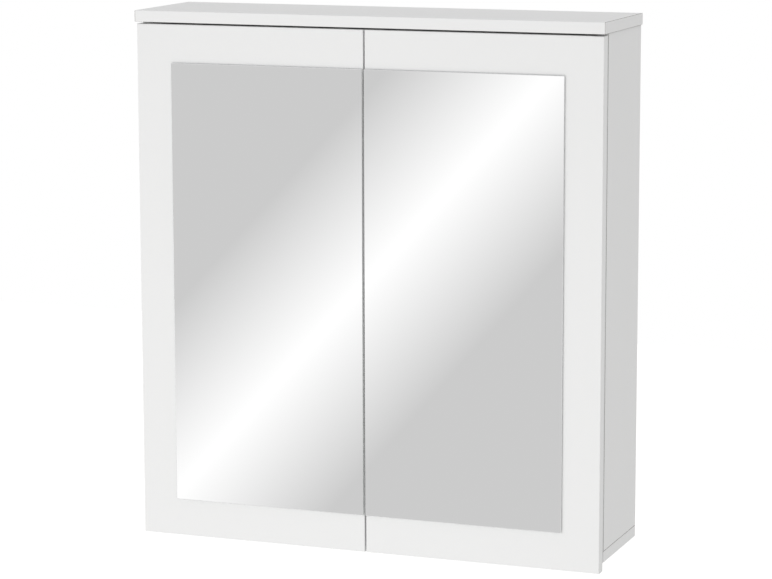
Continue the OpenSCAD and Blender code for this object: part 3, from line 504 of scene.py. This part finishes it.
mirror = {
    "silver": "#F5F5F5",
    "edge": "#F2F4F3",  # polished edge, where the glass shows a little green
    "paint": "#C4C8CA",  # pale grey paint behind the silver
    "layer": 0.2 * mm,  # depth of the front face and of the paint, as the shader draws them
    "smear": 60 * mm,  # from one faint wiping mark to the next
    "smearRoughness": 0.02,
    "edgeRoughness": 0.25,
}

foam = {
    "colour": "#F0F0EE",
    "bubble": 0.8 * mm,  # width of a foam cell
    "relief": 0.5,
    "reliefDepth": 0.15 * mm,
    "roughness": 0.85,
    "ior": 1.5,
}


def silveredGlass(node):
    # float glass silvered and painted behind: a clean, cool reflection with a pale polished edge round it
    m = mirror
    low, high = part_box(node)
    material, tree = newMaterial("silvered float glass, " + node.replace("_", " "))
    place = addNode(tree, "ShaderNodeTexCoord").outputs["Object"]
    axes = addNode(tree, "ShaderNodeSeparateXYZ", {0: place})
    front = addNode(tree, "ShaderNodeMath", {0: axes.outputs["Y"], 1: low.y + m["layer"]},
                    operation="LESS_THAN")
    back = addNode(tree, "ShaderNodeMath", {0: axes.outputs["Y"], 1: high.y - m["layer"]},
                   operation="GREATER_THAN")
    body = addNode(tree, "ShaderNodeMix", {
        "Factor": back.outputs[0], "A": toLinear(m["edge"]), "B": toLinear(m["paint"]),
    }, data_type="RGBA")
    colour = addNode(tree, "ShaderNodeMix", {
        "Factor": front.outputs[0], "A": body.outputs["Result"], "B": toLinear(m["silver"]),
    }, data_type="RGBA")
    smear = addNode(tree, "ShaderNodeTexNoise", {"Vector": place, "Scale": 1 / m["smear"], "Detail": 2.0})
    clean = addNode(tree, "ShaderNodeMath", {0: smear.outputs["Fac"], 1: m["smearRoughness"]},
                    operation="MULTIPLY")
    roughness = addNode(tree, "ShaderNodeMix", {
        "Factor": front.outputs[0], "A": m["edgeRoughness"], "B": clean.outputs[0],
    })
    dress([node], material, {
        "Base Color": colour.outputs["Result"],
        "Metallic": front.outputs[0],
        "Roughness": roughness.outputs["Result"],
    })


def foamTape(nodeNames):
    # closed-cell polyethylene foam: dull white with a fine pitted edge
    m = foam
    material, tree = newMaterial("white foam mounting tape")
    place = addNode(tree, "ShaderNodeTexCoord").outputs["Object"]
    cells = addNode(tree, "ShaderNodeTexVoronoi", {"Vector": place, "Scale": 1 / m["bubble"]})
    bump = addNode(tree, "ShaderNodeBump", {
        "Strength": m["relief"], "Distance": m["reliefDepth"], "Height": cells.outputs["Distance"],
    })
    dress(nodeNames, material, {
        "Base Color": toLinear(m["colour"]),
        "Roughness": m["roughness"],
        "IOR": m["ior"],
        "Normal": bump.outputs["Normal"],
    })


for side in sides:
    silveredGlass(side + "_mirror")
foamTape([side + "_mirror_tape" for side in sides])
print("mirrors finished")


# Metal and plastic fittings

metalMarks = {
    "noiseLow": 0.3,  # the part of the noise's range that the marks use
    "noiseHigh": 0.7,
    "sheen": 0.04,  # how far the marks move the roughness, either way
    "reliefDepth": 0.02 * mm,
}

# cloud is the width of a plate's cloudy patches, and grain that of the marks, drawn coarser so that they show
metals = {
    # pressed steel, nickel plated in a barrel: warm, bright and a little cloudy
    "nickel-plated pressed steel": {
        "colour": "#CBC7BF", "tint": "#B9B4AA", "roughness": 0.26,
        "cloud": 9 * mm, "grain": 1.2 * mm, "relief": 0.08,
    },
    # the inner links keep a duller plate
    "dull nickel-plated steel": {
        "colour": "#9C9993", "tint": "#86837E", "roughness": 0.34,
        "cloud": 6 * mm, "grain": 1 * mm, "relief": 0.1,
    },
    # pins cut from bright bar
    "bright turned steel": {
        "colour": "#BEBEBC", "tint": "#ADADAB", "roughness": 0.24,
        "cloud": 3 * mm, "grain": 0.6 * mm, "relief": 0.1,
    },
    # zinc with a clear passivate: bluish, with a faint straw tint in places
    "bright zinc-plated steel": {
        "colour": "#C3C9D1", "tint": "#CFCBBB", "roughness": 0.28,
        "cloud": 5 * mm, "grain": 0.8 * mm, "relief": 0.12,
    },
    # strip hardened and blued: dark, smooth and faintly violet
    "blued spring steel": {
        "colour": "#62646C", "tint": "#504E57", "roughness": 0.32,
        "cloud": 4 * mm, "grain": 0.5 * mm, "relief": 0.2,
    },
    # die casting: grey, grainy and matt
    "die-cast zinc": {
        "colour": "#A6A9AC", "tint": "#999C9F", "roughness": 0.46,
        "cloud": 4 * mm, "grain": 0.8 * mm, "relief": 0.6,
    },
}

# flow is the width of the moulding's flow marks
plastics = {
    "cap": {
        "colour": "#F1F1EE", "roughness": 0.38, "sheen": 0.06,
        "flow": 5 * mm, "relief": 0.2, "reliefDepth": 0.05 * mm, "ior": 1.51,
    },
    "buffer": {
        "colour": "#F3F6F6", "roughness": 0.16, "sheen": 0.05,
        "flow": 3 * mm, "clearness": 0.9, "ior": 1.5,
    },
}

beech = {
    "colour": "#D2B183",
    "dark": "#B48F5F",
    "fleck": 0.9 * mm,  # width of the dark flecks
    "relief": 0.3,
    "reliefDepth": 0.1 * mm,
    "roughness": 0.65,
    "ior": 1.5,
}


def metalFinish(name, nodeNames, m):
    # soft highlights, clouded by the tint and broken up by handling marks or the casting's grain
    material, tree = newMaterial(name)
    place = addNode(tree, "ShaderNodeTexCoord").outputs["Object"]
    cloud = addNode(tree, "ShaderNodeTexNoise", {"Vector": place, "Scale": 1 / m["cloud"], "Detail": 3.0})
    colour = addNode(tree, "ShaderNodeMix", {
        "Factor": cloud.outputs["Fac"], "A": toLinear(m["colour"]), "B": toLinear(m["tint"]),
    }, data_type="RGBA")
    marks = addNode(tree, "ShaderNodeTexNoise", {"Vector": place, "Scale": 1 / m["grain"], "Detail": 2.0})
    roughness = addNode(tree, "ShaderNodeMapRange", {
        "Value": marks.outputs["Fac"],
        "From Min": metalMarks["noiseLow"], "From Max": metalMarks["noiseHigh"],
        "To Min": m["roughness"] - metalMarks["sheen"], "To Max": m["roughness"] + metalMarks["sheen"],
    })
    bump = addNode(tree, "ShaderNodeBump", {
        "Strength": m["relief"], "Distance": metalMarks["reliefDepth"], "Height": marks.outputs["Fac"],
    })
    dress(nodeNames, material, {
        "Base Color": colour.outputs["Result"],
        "Metallic": 1.0,
        "Roughness": roughness.outputs["Result"],
        "Normal": bump.outputs["Normal"],
    })


def mouldedCaps(nodeNames):
    # low-density polyethylene, moulded: soft white with a faint flow
    m = plastics["cap"]
    material, tree = newMaterial("moulded white polyethylene")
    place = addNode(tree, "ShaderNodeTexCoord").outputs["Object"]
    flow = addNode(tree, "ShaderNodeTexNoise", {"Vector": place, "Scale": 1 / m["flow"]})
    roughness = addNode(tree, "ShaderNodeMapRange", {
        "Value": flow.outputs["Fac"],
        "To Min": m["roughness"] - m["sheen"], "To Max": m["roughness"] + m["sheen"],
    })
    bump = addNode(tree, "ShaderNodeBump", {
        "Strength": m["relief"], "Distance": m["reliefDepth"], "Height": flow.outputs["Fac"],
    })
    dress(nodeNames, material, {
        "Base Color": toLinear(m["colour"]),
        "Roughness": roughness.outputs["Result"],
        "IOR": m["ior"],
        "Normal": bump.outputs["Normal"],
    })


def clearBuffers(nodeNames):
    # soft clear polyurethane domes, which let the white door show through
    m = plastics["buffer"]
    material, tree = newMaterial("clear soft polyurethane")
    place = addNode(tree, "ShaderNodeTexCoord").outputs["Object"]
    flow = addNode(tree, "ShaderNodeTexNoise", {"Vector": place, "Scale": 1 / m["flow"]})
    roughness = addNode(tree, "ShaderNodeMapRange", {
        "Value": flow.outputs["Fac"],
        "To Min": m["roughness"] - m["sheen"], "To Max": m["roughness"] + m["sheen"],
    })
    dress(nodeNames, material, {
        "Base Color": toLinear(m["colour"]),
        "Roughness": roughness.outputs["Result"],
        "IOR": m["ior"],
        "Transmission Weight": m["clearness"],
    })


def turnedBeech(nodeNames):
    # beech dowel: pale pinkish wood with short dark flecks
    m = beech
    material, tree = newMaterial("turned beech")
    place = addNode(tree, "ShaderNodeTexCoord").outputs["Object"]
    flecks = addNode(tree, "ShaderNodeTexNoise", {"Vector": place, "Scale": 1 / m["fleck"], "Detail": 3.0})
    colour = addNode(tree, "ShaderNodeMix", {
        "Factor": flecks.outputs["Fac"], "A": toLinear(m["colour"]), "B": toLinear(m["dark"]),
    }, data_type="RGBA")
    bump = addNode(tree, "ShaderNodeBump", {
        "Strength": m["relief"], "Distance": m["reliefDepth"], "Height": flecks.outputs["Fac"],
    })
    dress(nodeNames, material, {
        "Base Color": colour.outputs["Result"],
        "Roughness": m["roughness"],
        "IOR": m["ior"],
        "Normal": bump.outputs["Normal"],
    })


hinges = [side + "_" + level for side in sides for level in ("upper", "lower")]
pressedParts = ("hinge_plate", "hinge_arm", "hinge_cup", "outer_link")
metalNodes = {
    "nickel-plated pressed steel": [hinge + "_" + part for hinge in hinges for part in pressedParts],
    "dull nickel-plated steel": [hinge + "_inner_link" for hinge in hinges],
    "bright turned steel": [
        "hinge_arm_pins", "left_cup_pins", "left_inner_link_pins", "right_cup_pins", "right_inner_link_pins",
    ],
    "bright zinc-plated steel": [
        "shelf_pins", "cam_bolts", "left_keyhole_plate", "right_keyhole_plate", "keyhole_plate_screws",
        "hinge_plate_screws", "hinge_arm_screws", "left_cup_screws", "right_cup_screws",
    ],
    "blued spring steel": ["hinge_springs"],
    "die-cast zinc": ["cam_locks"],
}
for name, nodeNames in metalNodes.items():
    metalFinish(name, nodeNames, metals[name])
mouldedCaps(["cam_caps"])
clearBuffers([side + "_door_buffer" for side in sides])
turnedBeech(["dowels"])
print("fittings finished")


# Edges: the mirrors' ground edges, as small bevels on the CAD meshes

grinding = {
    "width": 0.4 * mm,
    "segments": 3,
    "sharperThan": math.radians(50),
    "weld": 0.01 * mm,  # joins the faces' corners first, so that the bevel can run round them
}


def grindEdges(node, g):
    piece = nodes[node]
    join = piece.modifiers.new("joinFaces", "WELD")
    join.merge_threshold = g["weld"]
    bevel = piece.modifiers.new("groundEdges", "BEVEL")
    bevel.width = g["width"]
    bevel.segments = g["segments"]
    bevel.limit_method = "ANGLE"
    bevel.angle_limit = g["sharperThan"]
    bevel.harden_normals = True


for side in sides:
    grindEdges(side + "_mirror", grinding)
print("edges ground")
